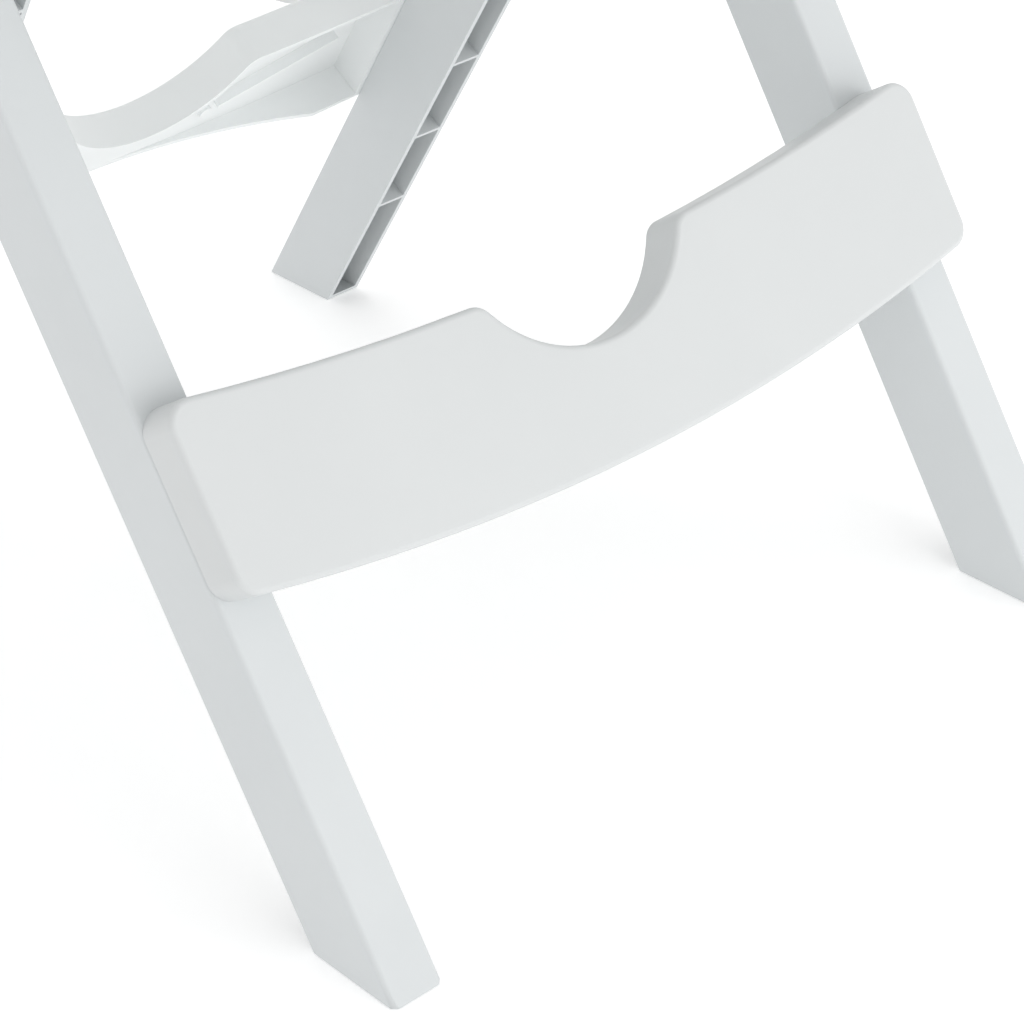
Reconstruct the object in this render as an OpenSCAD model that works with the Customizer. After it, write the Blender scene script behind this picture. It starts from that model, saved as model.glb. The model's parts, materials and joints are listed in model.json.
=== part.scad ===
// Folding, reclining garden lounger in moulded plastic.
// Two crossed leg frames, a slatted seat and back, ratchet back hinges and two armrests.

/* [Leg frames] */
// Width over the outer (front) legs
frame_w = 500; // [490:2:510]
// Depth of every leg section, square to its slope
leg_depth = 50; // [48:0.5:51]
// Width of a front leg
front_leg_w = 30.6; // [28:0.2:31]
// Width of a rear leg
rear_leg_w = 25.7; // [24:0.1:26]
// Distance between the inner faces of the rear legs
rear_gap = 362.3; // [362:0.1:364]
// Slope of the front legs from the floor, in degrees
front_slope = 57.86; // [57.5:0.02:58.2]
// Slope of the rear legs from the floor, in degrees
rear_slope = 56.4; // [56:0.02:56.8]
// Depth over both pairs of feet, along the floor
foot_spread = 632.5; // [628:0.5:636]
// Wall thickness of the mouldings
wall = 3.2; // [2.8:0.1:3.6]

/* [Crossboards] */
// Depth of a crossboard in front of its legs
board_depth = 26.8; // [25:0.2:27]
// Height of the lower edge up the leg slope, at the middle
board_low = 182.5; // [178:0.5:186]
// Height of the upper edge up the leg slope, at the middle
board_high = 281.5; // [278:0.5:284]
// Radius of the lower edge
board_low_r = 1328; // [1250:2:1400]
// Radius of the upper edge
board_high_r = 1535; // [1450:5:1600]
// Radius of the hand grip
grip_r = 73.4; // [68:0.2:75]
// Radius of the boards' outer corners
board_corner_r = 13; // [10:0.5:15]

/* [Seat and back] */
// Backward slope of the seat, in degrees
seat_slope = 6; // [5:0.5:6.5]
// Length of the seat in front of the leg pivot
seat_front = 172; // [160:1:176]
// Length of the seat behind the leg pivot
seat_rear = 212; // [205:1:216]
// Angle of the back from the floor, in degrees
back_angle = 70; // [68:0.5:72]
// Length of the back from its hinge
back_len = 660; // [640:2:680]

/* [Armrests] */
// Height of the armrest's top
arm_height = 640; // [630:1:645]
// Length of an armrest in front of its pivot
arm_front = 84; // [70:1:90]
// Length of an armrest behind its pivot
arm_rear = 360; // [330:1:380]

/* [Hidden] */
$fn = 96;

plastic = [0.91, 0.92, 0.915];
steel = [0.62, 0.63, 0.65];
seat_slats = 7;
back_slats = 10;
gap = 0.5;              // side gap between faces that slide past each other
rest_gap = 0.3;         // gap between a piece and the piece it rests on

half_w = frame_w / 2;
front_in = half_w - front_leg_w;
rear_in = rear_gap / 2;
rear_out = rear_in + rear_leg_w;

// Points in the side plane are [y, z]: a leg's centre line starts half a depth under its outer face.
front_dir = [cos(front_slope), sin(front_slope)];
rear_dir = [-cos(rear_slope), sin(rear_slope)];
front_start = [leg_depth / 2 * sin(front_slope), -leg_depth / 2 * cos(front_slope)];
rear_start = [foot_spread - leg_depth / 2 * sin(rear_slope), -leg_depth / 2 * cos(rear_slope)];
function cross2(a, b) = a[0] * b[1] - a[1] * b[0];
pivot_run = cross2(rear_start - front_start, rear_dir) / cross2(front_dir, rear_dir);
pivot = front_start + pivot_run * front_dir;
leg_reach = 1000;
rib_first = 137;
rib_pitch = 72;
rib_t = 2.6;

pin_r = 6;
run_fit = 0.05;
boss_r = 14;

// Armrests
arm_skin = 12;
arm_clear = leg_depth / 2 + 2.5;
arm_under = arm_height - arm_skin;
arm_pivot_z = arm_under - arm_clear;
arm_pivot = pivot + (arm_pivot_z - pivot[1]) / rear_dir[1] * rear_dir;
arm_in = rear_in - 3.6;
arm_out = half_w + 4.2;
skirt = 3;
skirt_depth = 42;
arm_pin_r = 5;
arm_end_r = 26;
web_x = rear_out + 1.3;
front_top = arm_under - rest_gap;
front_hollow_top = front_top / front_dir[1] - 40;
rear_pivot_run = (pivot[1] - rear_start[1]) / rear_dir[1];
arm_pivot_run = (arm_pivot_z - rear_start[1]) / rear_dir[1];

// Crossboards
grip_mid = board_high - (board_high - board_low) * 0.404 + grip_r;
high_mid = board_high + board_high_r;
low_mid = board_low + board_low_r;
shoulder_r = 12;
panel_rib = [[76, 213], [160, 240]];
panel_boss = [70, 208];
screw_r = 4;

// Seat, in its own frame: y runs back along the slope from the leg pivot, z is square to it.
rail_top = 12;
rail_low = -20;
rail_w = 24;
rail_out = rear_in - 4.15;
rail_in = rail_out - rail_w;
bar_r = (rail_top - rail_low) / 2;
bar_mid = (rail_top + rail_low) / 2;
slat_t = 10;
rear_bar_w = 26;
slat_gap = 9;
seat_pitch = (seat_front + seat_rear - rear_bar_w) / seat_slats;
stud_r = 5;
stud_run = 40;
hinge = [seat_rear + 14, 70];
hinge_pin_r = 5;
lug_r = 17;
lug_w = 8;
disc_w = 7;
disc_r = 20;

// Back, in its own frame: y runs up the back from the hinge, z faces forward.
back_out = rail_out - lug_w - disc_w - gap;
back_rail_w = 22;
back_in = back_out - back_rail_w;
back_t = 28;
foot_bar = [24, 56];
head_len = 74;
head_r = 30;
back_pitch = (back_len - head_len - foot_bar[1]) / back_slats;

// Whole object: the origin is under the middle of its depth.
function turn(p, a) = [p[0] * cos(a) - p[1] * sin(a), p[0] * sin(a) + p[1] * cos(a)];
hinge_at = pivot + turn(hinge, -seat_slope);
back_top_rear = hinge_at + turn([back_len, -back_t / 2], back_angle);
depth_mid = back_top_rear[0] / 2;

module at_origin() {
    translate([0, -depth_mid, 0]) children();
}

// x is across, y runs up the front face of the front legs, z stands out of that face.
module front_frame() {
    at_origin() rotate([front_slope, 0, 0]) children();
}

// x is across, y runs up the rear face of the rear legs, z stands out of that face.
module rear_frame() {
    at_origin() translate([0, foot_spread, 0]) mirror([0, 1, 0]) rotate([rear_slope, 0, 0]) children();
}

module seat_frame() {
    at_origin() translate([0, pivot[0], pivot[1]]) rotate([-seat_slope, 0, 0]) children();
}

module back_frame() {
    at_origin() translate([0, hinge_at[0], hinge_at[1]]) rotate([back_angle, 0, 0]) children();
}

module both_sides() {
    children();
    mirror([1, 0, 0]) children();
}

// A round bar across, from x0 to x1, at [y, z].
module cross_pin(x0, x1, at, r) {
    translate([x0, at[0], at[1]]) rotate([0, 90, 0]) cylinder(h = x1 - x0, r = r);
}

module span(x0, x1, y0, y1, z0, z1) {
    translate([x0, y0, z0]) cube([x1 - x0, y1 - y0, z1 - z0]);
}

// ---- Leg frames ----

module below(level) {
    translate([-leg_reach, -leg_reach, level - leg_reach]) cube([2 * leg_reach, 2 * leg_reach, leg_reach]);
}

module above(level) {
    translate([-leg_reach, -leg_reach, level]) cube([2 * leg_reach, 2 * leg_reach, leg_reach]);
}

// Hollow of a leg channel, open on the face away from the outer one, with a rib every rib_pitch.
module leg_hollow(x0, x1, top_run) {
    difference() {
        span(x0 + wall, x1 - wall, -leg_depth, top_run, -leg_depth - 1, -wall);
        for (y = [rib_first : rib_pitch : top_run])
            span(x0, x1, y, y + rib_t, -leg_depth - 2, 0);
    }
}

module front_leg() {
    difference() {
        union() {
            difference() {
                front_frame() span(front_in, half_w, -leg_depth, leg_reach, -leg_depth, 0);
                below(0);
                above(front_top);
                difference() {
                    front_frame() leg_hollow(front_in, half_w, front_hollow_top);
                    below(wall);
                }
            }
            front_frame() cross_pin(front_in, half_w, [pivot_run, -leg_depth / 2], boss_r);
        }
        front_frame() cross_pin(front_in - 1, half_w + 1, [pivot_run, -leg_depth / 2], pin_r + run_fit);
    }
}

module rear_leg() {
    difference() {
        union() {
            difference() {
                rear_frame() span(rear_in, rear_out, -leg_depth, arm_pivot_run, -leg_depth, 0);
                below(0);
                difference() {
                    rear_frame() leg_hollow(rear_in, rear_out, arm_pivot_run - leg_depth / 2);
                    below(wall);
                }
            }
            rear_frame() {
                cross_pin(rear_in, rear_out, [arm_pivot_run, -leg_depth / 2], leg_depth / 2);
                cross_pin(rear_in, rear_out, [rear_pivot_run, -leg_depth / 2], boss_r);
            }
        }
        rear_frame() {
            cross_pin(rear_in - 1, rear_out + 1, [rear_pivot_run, -leg_depth / 2], pin_r + run_fit);
            cross_pin(rear_in - 1, rear_out + 1, [arm_pivot_run, -leg_depth / 2], arm_pin_r + run_fit);
            cross_pin(rear_in - 1, rear_in + 12, stud_at, stud_r + run_fit);
        }
    }
}

// ---- Crossboards ----

// Point, right of the middle, where circles of radius r_a round [0, a] and r_b round [0, b] meet.
function meet(a, r_a, b, r_b) =
    let (y = (r_a * r_a - r_b * r_b - a * a + b * b) / (2 * (b - a)))
    [sqrt(r_b * r_b - (y - b) * (y - b)), y];

// Rounds the corner between the grip and the upper edge. The circle is a hair over the tangent
// radius, so that its arc crosses the two edges instead of only touching them.
module shoulder_cut(inset) {
    r = shoulder_r - inset;
    mid = meet(high_mid, board_high_r + shoulder_r, grip_mid, grip_r + shoulder_r);
    corner = meet(high_mid, board_high_r + inset, grip_mid, grip_r + inset);
    difference() {
        polygon([mid, mid + ([0, high_mid] - mid) * 1.4 * r / (board_high_r + shoulder_r),
            mid + (corner - mid) * 1.4, mid + ([0, grip_mid] - mid) * 1.4 * r / (grip_r + shoulder_r)]);
        translate(mid) circle(r = r + 0.04);
    }
}

// Outline of a crossboard, drawn in by inset all round.
module board_outline(half, inset) {
    difference() {
        intersection() {
            translate([-half + inset, board_low - 10])
                square([2 * (half - inset), board_high - board_low + 60]);
            translate([0, low_mid]) circle(r = board_low_r - inset, $fn = 360);
        }
        translate([0, high_mid]) circle(r = board_high_r + inset, $fn = 360);
        translate([0, grip_mid]) circle(r = grip_r + inset);
        shoulder_cut(inset);
        mirror([1, 0]) shoulder_cut(inset);
    }
}

// Height of an arc's edge above its lowest point, at x.
function arc_rise(r, x) = r - sqrt(r * r - x * x);

// Takes off one corner: sx, sy are the corner's directions.
module corner_cut(x, y, sx, sy, r) {
    translate([x, y]) mirror([sx < 0 ? 1 : 0, 0]) mirror([0, sy < 0 ? 1 : 0]) difference() {
        translate([-r, -r]) square([r + 5, r + 12]);
        translate([-r, -r]) circle(r = r);
    }
}

// Stiffening rib and boss on the inside of a board's panel, whose inner face is at depth.
module panel_ribs(depth) {
    run = panel_rib[1] - panel_rib[0];
    translate([panel_rib[0][0], panel_rib[0][1], depth - 7]) rotate([0, 0, atan2(run[1], run[0])])
        cube([norm(run), 2.4, 8]);
    translate([panel_boss[0], panel_boss[1], depth - 5]) cylinder(h = 6, r = 4.5);
}

// Rounds an end corner of a board. toward points from the rounding's centre to where it meets the arc.
module end_cut(mid, toward, corner, r) {
    difference() {
        polygon([mid, mid + toward * 1.4 * r / norm(toward), mid + (corner - mid) * 1.4, mid + [1.4 * r, 0]]);
        translate(mid) circle(r = r + 0.04);
    }
}

// Both end corners on the right of a board.
module end_cuts(half, r) {
    high = [half - r, high_mid - sqrt(pow(board_high_r + r, 2) - pow(half - r, 2))];
    low = [half - r, low_mid - sqrt(pow(board_low_r - r, 2) - pow(half - r, 2))];
    end_cut(high, [0, high_mid] - high, [half, board_high + arc_rise(board_high_r, half)], r);
    end_cut(low, low - [0, low_mid], [half, board_low + arc_rise(board_low_r, half)], r);
}

module crossboard(half, leg_inner) {
    rim_half = leg_inner - 36;
    rim_depth = board_depth - wall;
    rim_r = (rim_half * rim_half + rim_depth * rim_depth) / (2 * rim_depth);
    difference() {
        linear_extrude(board_depth) difference() {
            board_outline(half, 0);
            end_cuts(half, board_corner_r);
            mirror([1, 0]) end_cuts(half, board_corner_r);
        }
        translate([0, 0, -1]) linear_extrude(rim_depth + 1) intersection() {
            board_outline(half, wall);
            translate([wall - leg_inner, 0]) square([2 * (leg_inner - wall), board_high + 100]);
        }
        intersection() {
            translate([0, board_low - 20, rim_depth - rim_r]) rotate([-90, 0, 0])
                cylinder(h = 32, r = rim_r, $fn = 360);
            span(-leg_inner + wall, leg_inner - wall, board_low - 20, board_low + 12, -1, rim_depth);
        }
    }
    panel_ribs(rim_depth);
    mirror([1, 0, 0]) panel_ribs(rim_depth);
}

module board_screws(x) {
    for (y = [board_low + 42, board_high - 20])
        both_sides() translate([x, y, -wall - 3]) cylinder(h = 3, r = screw_r);
}

// ---- Pivots ----

function to_rear_frame(p) = turn([foot_spread - p[0], p[1]], -rear_slope);
stud_at = to_rear_frame(pivot + turn([-stud_run, rail_top + rest_gap + stud_r], -seat_slope));

module ring(x0, x1, r_out, r_in) {
    difference() {
        cross_pin(x0, x1, [0, 0], r_out);
        cross_pin(x0 - 1, x1 + 1, [0, 0], r_in);
    }
}

module at_leg_pivot() {
    at_origin() translate([0, pivot[0], pivot[1]]) children();
}

// ---- Seat ----

module seat_rail() {
    difference() {
        union() {
            span(rail_in, rail_out, -seat_front, seat_rear, rail_low, rail_top);
            translate([rail_out - lug_w, 0, 0]) rotate([90, 0, 90]) linear_extrude(lug_w) polygon([
                [hinge[0] - 66, rail_top - 1], [hinge[0] - lug_r, hinge[1]],
                [hinge[0] + lug_r, hinge[1]], [seat_rear, rail_low], [seat_rear - 30, rail_low]]);
            cross_pin(rail_out - lug_w, rail_out, hinge, lug_r);
        }
        cross_pin(rail_in - 1, rail_out + 1, [0, 0], pin_r + run_fit);
        cross_pin(rail_in - 1, rail_out + 1, hinge, hinge_pin_r + run_fit);
    }
}

module seat_front_bar_shape() {
    cross_pin(-rail_out, rail_out, [-seat_front - bar_r, bar_mid], bar_r);
    span(-rail_out, rail_out, -seat_front - bar_r, -seat_front, rail_low, rail_top);
}

module seat_slat(i) {
    y = -seat_front + slat_gap / 2 + (i - 1) * seat_pitch;
    span(-rail_in, rail_in, y, y + seat_pitch - slat_gap, rail_top - slat_t, rail_top);
}

// ---- Back ----

module back_rail() {
    difference() {
        union() {
            span(back_in, back_out, 0, back_len - head_len, -back_t / 2, back_t / 2);
            cross_pin(back_in, back_out, [0, 0], back_t / 2);
        }
        cross_pin(back_in - 1, back_out + 1, [0, 0], hinge_pin_r + run_fit);
    }
}

module back_slat(i) {
    y = foot_bar[1] + slat_gap / 2 + (i - 1) * back_pitch;
    span(-back_in, back_in, y, y + back_pitch - slat_gap, back_t / 2 - slat_t - 2, back_t / 2 - 2);
}

module head_bar() {
    translate([0, 0, -back_t / 2]) linear_extrude(back_t) difference() {
        translate([-back_out, back_len - head_len]) square([2 * back_out, head_len]);
        for (side = [-1, 1])
            corner_cut(side * back_out, back_len, side, 1, head_r);
    }
}

// ---- Armrests ----

module arm_plan(inset) {
    difference() {
        translate([arm_in + inset, -arm_front + inset])
            square([arm_out - arm_in - 2 * inset, arm_front + arm_rear - 2 * inset]);
        for (end = [-1, 1], side = [-1, 1])
            corner_cut(side > 0 ? arm_out - inset : arm_in + inset,
                end > 0 ? arm_rear - inset : inset - arm_front, side, end, arm_end_r - inset);
    }
}

// Drawn about its pivot: y runs back, z is up.
module armrest() {
    difference() {
        translate([0, 0, arm_clear - skirt_depth + arm_skin]) linear_extrude(skirt_depth) arm_plan(0);
        difference() {
            translate([0, 0, arm_clear - skirt_depth]) linear_extrude(skirt_depth) arm_plan(skirt);
            span(web_x, web_x + skirt, -arm_front, 70, -skirt_depth, skirt_depth);
        }
        span(arm_in - 1, arm_out + 1, -arm_front - 1, arm_end_r + 2 - arm_front, -skirt_depth, arm_clear);
        cross_pin(arm_in - 1, web_x + skirt + 1, [0, 0], arm_pin_r + run_fit);
    }
}

module at_arm_pivot() {
    at_origin() translate([0, arm_pivot[0], arm_pivot[1]]) children();
}

// ---- Nodes ----

module front_leg_left() { color(plastic) mirror([1, 0, 0]) front_leg(); }
module front_leg_right() { color(plastic) front_leg(); }
module front_crossboard() { color(plastic) front_frame() crossboard(half_w, front_in); }
module front_board_screws() { color(steel) front_frame() board_screws(half_w - front_leg_w / 2); }
module leg_pivot_pins() {
    color(steel) at_leg_pivot() both_sides() cross_pin(rail_in + 2, half_w, [0, 0], pin_r);
}
module leg_pivot_caps() {
    color(plastic) at_leg_pivot() both_sides() cross_pin(half_w, half_w + 2.4, [0, 0], boss_r);
}
module leg_spacers() {
    color(plastic) at_leg_pivot() both_sides()
        ring(rear_out + rest_gap, front_in, boss_r + 2, pin_r + run_fit);
}
module seat_washers() {
    color(plastic) at_leg_pivot() both_sides()
        ring(rail_out + rest_gap, rear_in - rest_gap, boss_r, pin_r + run_fit);
}
module rear_leg_left() { color(plastic) mirror([1, 0, 0]) rear_leg(); }
module rear_leg_right() { color(plastic) rear_leg(); }
module rear_crossboard() { color(plastic) rear_frame() crossboard(rear_out, rear_in); }
module rear_board_screws() { color(steel) rear_frame() board_screws(rear_in + rear_leg_w / 2); }
module seat_stop_studs() {
    color(steel) rear_frame() both_sides() cross_pin(rail_in + 4, rear_in + 12, stud_at, stud_r);
}
module arm_pivot_pins() {
    color(steel) at_arm_pivot() both_sides() cross_pin(arm_in, web_x + skirt, [0, 0], arm_pin_r);
}
module seat_rail_left() { color(plastic) mirror([1, 0, 0]) seat_frame() seat_rail(); }
module seat_rail_right() { color(plastic) seat_frame() seat_rail(); }
module seat_front_bar() { color(plastic) seat_frame() seat_front_bar_shape(); }
module seat_rear_bar() {
    color(plastic) seat_frame()
        span(-rail_in, rail_in, seat_rear - rear_bar_w, seat_rear, rail_low, rail_top);
}
module back_hinge_pins() {
    color(steel) seat_frame() both_sides() cross_pin(back_in, rail_out, hinge, hinge_pin_r);
}
module ratchet_discs() {
    color(plastic) seat_frame() both_sides() translate([0, hinge[0], hinge[1]])
        ring(rail_out - lug_w - disc_w, rail_out - lug_w, disc_r - 3, hinge_pin_r + run_fit);
}
module back_rail_left() { color(plastic) mirror([1, 0, 0]) back_frame() back_rail(); }
module back_rail_right() { color(plastic) back_frame() back_rail(); }
module back_foot_bar() {
    color(plastic) back_frame() span(-back_in, back_in, foot_bar[0], foot_bar[1], -back_t / 2, back_t / 2);
}
module back_head_bar() { color(plastic) back_frame() head_bar(); }
module armrest_left() { color(plastic) at_arm_pivot() mirror([1, 0, 0]) armrest(); }
module armrest_right() { color(plastic) at_arm_pivot() armrest(); }

front_leg_left();
front_leg_right();
front_crossboard();
front_board_screws();
leg_pivot_pins();
leg_pivot_caps();
leg_spacers();
seat_washers();
rear_leg_left();
rear_leg_right();
rear_crossboard();
rear_board_screws();
seat_stop_studs();
arm_pivot_pins();
seat_rail_left();
seat_rail_right();
seat_front_bar();
seat_rear_bar();
for (i = [1 : seat_slats])
    color(plastic) seat_frame() seat_slat(i);
back_hinge_pins();
ratchet_discs();
back_rail_left();
back_rail_right();
back_foot_bar();
back_head_bar();
for (i = [1 : back_slats])
    color(plastic) back_frame() back_slat(i);
armrest_left();
armrest_right();
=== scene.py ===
"""Looks of the folding, reclining plastic lounger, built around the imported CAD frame."""

import json
import math

import bmesh
import bpy
from mathutils import Matrix, Vector


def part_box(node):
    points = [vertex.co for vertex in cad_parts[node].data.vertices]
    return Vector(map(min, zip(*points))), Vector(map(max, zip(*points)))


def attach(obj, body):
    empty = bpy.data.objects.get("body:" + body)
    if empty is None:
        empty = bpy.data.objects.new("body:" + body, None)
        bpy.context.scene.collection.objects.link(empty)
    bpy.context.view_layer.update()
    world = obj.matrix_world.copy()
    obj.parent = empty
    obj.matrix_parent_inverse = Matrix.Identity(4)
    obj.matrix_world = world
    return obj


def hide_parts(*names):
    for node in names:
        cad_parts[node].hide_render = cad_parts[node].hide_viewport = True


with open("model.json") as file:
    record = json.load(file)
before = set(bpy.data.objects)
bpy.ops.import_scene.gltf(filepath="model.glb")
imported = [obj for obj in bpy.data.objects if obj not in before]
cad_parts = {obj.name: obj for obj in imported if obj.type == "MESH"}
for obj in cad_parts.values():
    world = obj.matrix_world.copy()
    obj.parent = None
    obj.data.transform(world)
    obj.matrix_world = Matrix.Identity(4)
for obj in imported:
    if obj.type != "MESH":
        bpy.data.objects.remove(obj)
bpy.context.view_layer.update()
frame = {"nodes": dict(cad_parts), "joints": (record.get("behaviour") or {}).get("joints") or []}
nodes = frame["nodes"]
joints = {j["name"]: j for j in frame["joints"]}
MM = 0.001                                        # the frame is in metres, sizes below in millimetres

# ---------------------------------------------------------------- places taken from the frame
FRONT_SLOPE = math.radians(57.86)
REAR_SLOPE = math.radians(56.4)
SEAT_SLOPE = math.radians(6)
BACK_ANGLE = math.radians(70)
FLOOR_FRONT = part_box("front_leg_right")[0].y
FLOOR_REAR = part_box("rear_leg_right")[1].y
LEG_PIVOT = Vector(joints["leg_fold"]["pos_m"])
BACK_PIVOT = Vector(joints["back_hinge"]["pos_m"])
ARM_PIVOT = Vector(joints["arm_left_fold"]["pos_m"])
FRAME_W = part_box("front_crossboard")[1].x * 2


def axes(origin, along, out):
    """Matrix of a local frame: x across, y along, z out of the face."""
    x = along.cross(out)
    rows = [[x[i], along[i], out[i], origin[i]] for i in range(3)]
    return Matrix(rows + [[0, 0, 0, 1]])


def tilted(origin, angle):
    """Frame turned about +X by angle: y then runs up a slope and z stands out of it."""
    return axes(origin, Vector((0, math.cos(angle), math.sin(angle))),
                Vector((0, -math.sin(angle), math.cos(angle))))


FRONT = tilted(Vector((0, FLOOR_FRONT, 0)), FRONT_SLOPE)
REAR = axes(Vector((0, FLOOR_REAR, 0)), Vector((0, -math.cos(REAR_SLOPE), math.sin(REAR_SLOPE))),
            Vector((0, math.sin(REAR_SLOPE), math.cos(REAR_SLOPE))))
SEAT = tilted(LEG_PIVOT, -SEAT_SLOPE)
BACK = tilted(BACK_PIVOT, BACK_ANGLE)
ARM = Matrix.Translation(ARM_PIVOT)

# ---------------------------------------------------------------- camera, light and floor
CAMERA_W = Vector((-1.8151, -1.6983, 1.8614))     # from the front feet, in frame widths
CAMERA_PITCH = math.radians(31.67)
CAMERA_HEADING = math.radians(-41.18)
CAMERA_ROLL = math.radians(-2.43)
CAMERA_LENS = 106.3


def make_camera():
    data = bpy.data.cameras.new("camera")
    data.sensor_width = 36
    data.lens = CAMERA_LENS
    data.clip_end = 50
    cam = bpy.data.objects.new("camera", data)
    bpy.context.scene.collection.objects.link(cam)
    cam.location = Vector((0, FLOOR_FRONT, 0)) + CAMERA_W * FRAME_W
    turn = Matrix.Rotation(CAMERA_HEADING, 4, "Z") @ Matrix.Rotation(math.pi / 2 - CAMERA_PITCH, 4, "X")
    turn = turn @ Matrix.Rotation(CAMERA_ROLL, 4, "Z")
    cam.rotation_euler = turn.to_euler()
    bpy.context.scene.camera = cam


def area_light(name, place, aim, size, power):
    """A round soft light: place, aim and size in metres, power in watts."""
    data = bpy.data.lights.new(name, "AREA")
    data.shape = "DISK"
    data.size = size
    data.energy = power
    lamp = bpy.data.objects.new(name, data)
    bpy.context.scene.collection.objects.link(lamp)
    lamp.location = place
    lamp.rotation_euler = (Vector(aim) - Vector(place)).to_track_quat("-Z", "Y").to_euler()


def make_stage():
    world = bpy.data.worlds.new("studio")
    bpy.context.scene.world = world
    world.use_nodes = True
    world.node_tree.nodes["Background"].inputs["Color"].default_value = (1, 1, 1, 1)
    world.node_tree.nodes["Background"].inputs["Strength"].default_value = 0.84
    bpy.context.scene.view_settings.view_transform = "Standard"
    aim = (0, 0.1, 0.3)
    area_light("key", (0.1, -3.2, 1.25), aim, 2.0, 14)
    area_light("low", (1.6, -2.6, 0.35), (0, 0.15, 0.2), 1.4, 13)
    area_light("back", (1.2, 2.6, 2.2), (0, 0.1, 0.4), 2.0, 9)
    make_floor()


def make_floor():
    mesh = bpy.data.meshes.new("floor")
    side = 14
    corners = [(-side, -side, 0), (side, -side, 0), (side, side, 0), (-side, side, 0)]
    mesh.from_pydata(corners, [], [(0, 1, 2, 3)])
    floor = bpy.data.objects.new("floor", mesh)
    bpy.context.scene.collection.objects.link(floor)
    floor.location.z = -0.5 * MM
    mat, shader = new_material("floor_paper")
    shader.inputs["Base Color"].default_value = (0.96, 0.96, 0.96, 1)
    shader.inputs["Roughness"].default_value = 0.9
    shader.inputs["Emission Color"].default_value = (1, 1, 1, 1)
    shader.inputs["Emission Strength"].default_value = 0.24
    floor.data.materials.append(mat)


# ---------------------------------------------------------------- materials
def new_material(name):
    mat = bpy.data.materials.new(name)
    mat.use_nodes = True
    return mat, mat.node_tree.nodes["Principled BSDF"]


def noise(tree, coords, scale, detail):
    node = tree.nodes.new("ShaderNodeTexNoise")
    node.inputs["Scale"].default_value = scale
    node.inputs["Detail"].default_value = detail
    tree.links.new(coords, node.inputs["Vector"])
    return node.outputs["Fac"]


def ramp(tree, value, low, high, dark, light):
    node = tree.nodes.new("ShaderNodeValToRGB")
    node.color_ramp.elements[0].position = low
    node.color_ramp.elements[1].position = high
    node.color_ramp.elements[0].color = (*dark, 1)
    node.color_ramp.elements[1].color = (*light, 1)
    tree.links.new(value, node.inputs["Fac"])
    return node.outputs["Color"]


def bump(tree, height, distance, strength, after=None):
    node = tree.nodes.new("ShaderNodeBump")
    node.inputs["Distance"].default_value = distance
    node.inputs["Strength"].default_value = strength
    tree.links.new(height, node.inputs["Height"])
    if after is not None:
        tree.links.new(after, node.inputs["Normal"])
    return node.outputs["Normal"]


def moulded_plastic(name, light, dark, rough):
    """White polypropylene: faint flow mottling, a fine satin skin and slow sink waviness."""
    mat, shader = new_material(name)
    tree = mat.node_tree
    coords = tree.nodes.new("ShaderNodeTexCoord").outputs["Object"]
    mottle = ramp(tree, noise(tree, coords, 9, 4), 0.3, 0.7, dark, light)
    tree.links.new(mottle, shader.inputs["Base Color"])
    rough_low = tuple([rough - 0.05] * 3)
    rough_high = tuple([rough + 0.06] * 3)
    satin = ramp(tree, noise(tree, coords, 60, 5), 0.3, 0.7, rough_low, rough_high)
    tree.links.new(satin, shader.inputs["Roughness"])
    sink = bump(tree, noise(tree, coords, 14, 1), 0.6 * MM, 0.18)
    skin = bump(tree, noise(tree, coords, 2200, 2), 0.03 * MM, 0.5, sink)
    tree.links.new(skin, shader.inputs["Normal"])
    shader.inputs["IOR"].default_value = 1.49
    shader.inputs["Specular IOR Level"].default_value = 0.42
    return mat


def turned_steel(name):
    """Zinc-plated steel with a fine grain."""
    mat, shader = new_material(name)
    tree = mat.node_tree
    coords = tree.nodes.new("ShaderNodeTexCoord").outputs["Object"]
    grain = noise(tree, coords, 900, 3)
    grey = ramp(tree, grain, 0.3, 0.7, (0.5, 0.51, 0.53), (0.66, 0.67, 0.69))
    tree.links.new(grey, shader.inputs["Base Color"])
    tree.links.new(bump(tree, grain, 0.02 * MM, 0.4), shader.inputs["Normal"])
    shader.inputs["Metallic"].default_value = 1
    shader.inputs["Roughness"].default_value = 0.3
    return mat


LEG_PLASTIC = moulded_plastic("leg_plastic", (0.665, 0.69, 0.697), (0.645, 0.67, 0.678), 0.46)
BOARD_PLASTIC = moulded_plastic("board_plastic", (0.665, 0.683, 0.684), (0.65, 0.668, 0.67), 0.44)
# painted light: the rear board's plastic is a much lighter copy (0.88 against about 0.67), lifting a board
# that renders too dark in the shade under the seat and arms
REAR_BOARD_LIT_PLASTIC = moulded_plastic("rear_board_lit_plastic", (0.88, 0.90, 0.90), (0.855, 0.875, 0.875), 0.46)
SEAT_PLASTIC = moulded_plastic("seat_plastic", (0.695, 0.71, 0.705), (0.675, 0.69, 0.686), 0.43)
STEEL = turned_steel("turned_steel")


# ---------------------------------------------------------------- softened mouldings
FLAT_ANGLE = math.radians(0.05)
SHARP_ANGLE = math.radians(32)
SMOOTH_ANGLE = math.radians(38)
WELD = 0.002


def edge_turn(edge):
    return edge.calc_face_angle(0) if len(edge.link_faces) == 2 else 0


def sharp_edges(bm, place, wanted):
    """Sharp edges whose middle, in the local frame of place, is wanted; lengths are in millimetres."""
    back = place.inverted()
    found = []
    for edge in bm.edges:
        if edge_turn(edge) > SHARP_ANGLE:
            middle = back @ ((edge.verts[0].co + edge.verts[1].co) / 2) / MM
            if wanted(middle):
                found.append(edge)
    return found


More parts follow.
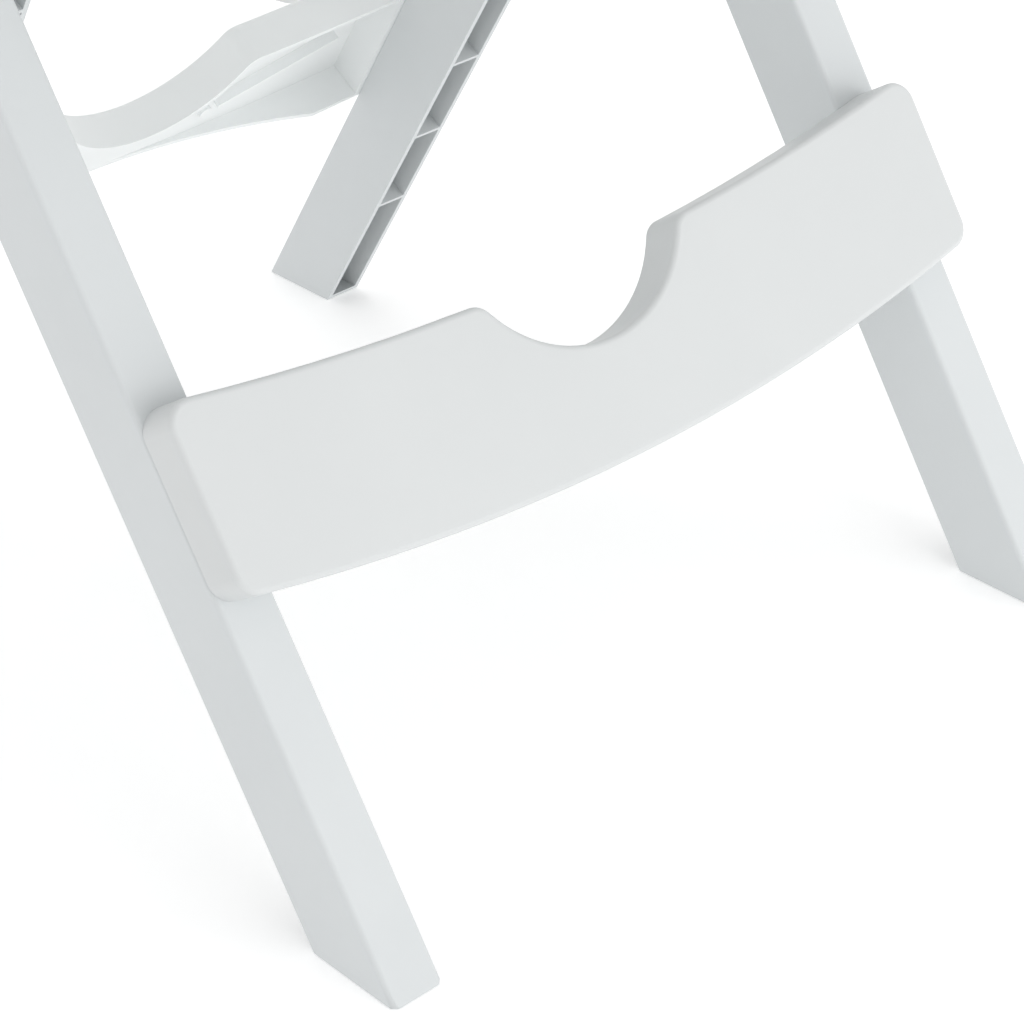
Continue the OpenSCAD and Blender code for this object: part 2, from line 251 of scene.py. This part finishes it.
def soften(node, body, mat, place, rules):
    """A copy of a CAD node with rounded edges; a rule is (radius in mm, segments, test of an edge middle)."""
    bm = bmesh.new()
    bm.from_mesh(nodes[node].data)
    bmesh.ops.remove_doubles(bm, verts=bm.verts, dist=WELD * MM)
    bmesh.ops.dissolve_limit(bm, angle_limit=FLAT_ANGLE, verts=bm.verts, edges=bm.edges)
    for radius, segments, wanted in rules:
        bmesh.ops.bevel(bm, geom=sharp_edges(bm, place, wanted), offset=radius * MM, offset_type="OFFSET",
                        segments=segments, profile=0.5, affect="EDGES", clamp_overlap=True)
    bmesh.ops.recalc_face_normals(bm, faces=bm.faces)
    mesh = bpy.data.meshes.new(node + "_moulding")
    bm.to_mesh(mesh)
    bm.free()
    return finish_piece(mesh, body, mat, [node])


def finish_piece(mesh, body, mat, replaced=()):
    """Smooth shading, material, body and replaced nodes of a finished mesh."""
    for face in mesh.polygons:
        face.use_smooth = True
    mesh.set_sharp_from_angle(angle=SMOOTH_ANGLE)
    mesh.materials.clear()
    mesh.materials.append(mat)
    piece = bpy.data.objects.new(mesh.name, mesh)
    bpy.context.scene.collection.objects.link(piece)
    weighted = piece.modifiers.new("normals", "WEIGHTED_NORMAL")
    weighted.keep_sharp = True
    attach(piece, body)
    if replaced:
        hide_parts(*replaced)
    return piece


def everywhere(p):
    return True


RIM = (0.7, 2, everywhere)


def outer_leg_edge(p):
    """Edge of a leg's smooth outer face, clear of its foot."""
    return p.z > -1 and p.y > 3


def make_legs():
    for side in ("left", "right"):
        soften("front_leg_" + side, "front_frame", LEG_PLASTIC, FRONT, [(3.0, 5, outer_leg_edge), RIM])
        soften("rear_leg_" + side, "rear_frame", LEG_PLASTIC, REAR, [(2.6, 5, outer_leg_edge), RIM])


BOARD_DEPTH = 26.8
RIM_EASE = 0.4
RIM_REACH = 217                                   # half the length of the front board's open back


def board_face_edge(p):
    return p.z > BOARD_DEPTH - 1


def ease_rim(piece):
    """The folded rear legs lie flush behind the front board, so its open rim ends a hair short of them."""
    back = FRONT.inverted()
    for vert in piece.data.vertices:
        p = (back @ vert.co) / MM
        if abs(p.x) < RIM_REACH and p.z < RIM_EASE:
            p.z = RIM_EASE
            vert.co = FRONT @ (p * MM)


def make_boards():
    rules = [(3.4, 5, board_face_edge), RIM]
    ease_rim(soften("front_crossboard", "front_frame", BOARD_PLASTIC, FRONT, rules))
    # the rear board takes the lighter copy of the plastic, painted light over its shade
    soften("rear_crossboard", "rear_frame", REAR_BOARD_LIT_PLASTIC, REAR, rules)


def long_top_edge(p):
    """Long edge of a slat's upper face."""
    return abs(p.x) < 5 and p.z > 10


def make_seat():
    for name in sorted(nodes):
        if name.startswith("seat_slat") or name in ("seat_front_bar", "seat_rear_bar"):
            soften(name, "seat", SEAT_PLASTIC, SEAT, [(3.4, 5, long_top_edge), (1.2, 3, everywhere)])
    for side in ("left", "right"):
        soften("seat_rail_" + side, "seat", SEAT_PLASTIC, SEAT, [(2.4, 4, everywhere)])


def make_back():
    for name in sorted(nodes):
        if name.startswith("back_slat"):
            soften(name, "back", SEAT_PLASTIC, BACK, [(3.6, 5, long_top_edge), (1.2, 3, everywhere)])
    for name in ("back_rail_left", "back_rail_right", "back_foot_bar"):
        soften(name, "back", SEAT_PLASTIC, BACK, [(3.0, 4, everywhere)])
    soften("back_head_bar", "back", SEAT_PLASTIC, BACK, [(6.0, 6, everywhere)])


def arm_top_edge(p):
    return p.z > 35


def make_arms():
    rules = [(5.0, 6, arm_top_edge), (1.0, 2, everywhere)]
    for side in ("left", "right"):
        soften("armrest_" + side, "arm_" + side, SEAT_PLASTIC, ARM, rules)


TEETH = 36
TEETH_X = (163, 168)                              # from the middle of the lounger
TOOTH_TIP = 18.4
TOOTH_ROOT = 16.9


def tooth_ring(name, side):
    """Fine teeth round a ratchet disc, drawn about the back hinge."""
    bm = bmesh.new()
    ends = []
    for x in TEETH_X:
        ring = []
        for i in range(TEETH * 2):
            a = math.pi * i / TEETH
            r = TOOTH_TIP if i % 2 == 0 else TOOTH_ROOT
            ring.append(bm.verts.new((side * x, r * math.cos(a), r * math.sin(a))))
        ends.append(ring)
    for i in range(TEETH * 2):
        j = (i + 1) % (TEETH * 2)
        bm.faces.new((ends[0][i], ends[0][j], ends[1][j], ends[1][i]))
    bm.faces.new(ends[0])
    bm.faces.new(ends[1])
    bmesh.ops.recalc_face_normals(bm, faces=bm.faces)
    bm.transform(Matrix.Translation(BACK_PIVOT) @ Matrix.Scale(MM, 4))
    mesh = bpy.data.meshes.new(name)
    bm.to_mesh(mesh)
    bm.free()
    return finish_piece(mesh, "seat", SEAT_PLASTIC)


def dress(names, mat):
    for name in names:
        nodes[name].data.materials.clear()
        nodes[name].data.materials.append(mat)


def finish_small_parts():
    """CAD nodes whose shape is right keep it and take a better material."""
    dress(("front_board_screws", "rear_board_screws", "leg_pivot_pins", "seat_stop_studs",
           "arm_pivot_pins", "back_hinge_pins"), STEEL)
    dress(("leg_pivot_caps", "leg_spacers", "seat_washers", "ratchet_discs"), LEG_PLASTIC)
    tooth_ring("ratchet_teeth_left", -1)
    tooth_ring("ratchet_teeth_right", 1)


make_camera()
make_stage()
make_legs()
make_boards()
make_seat()
make_back()
make_arms()
finish_small_parts()
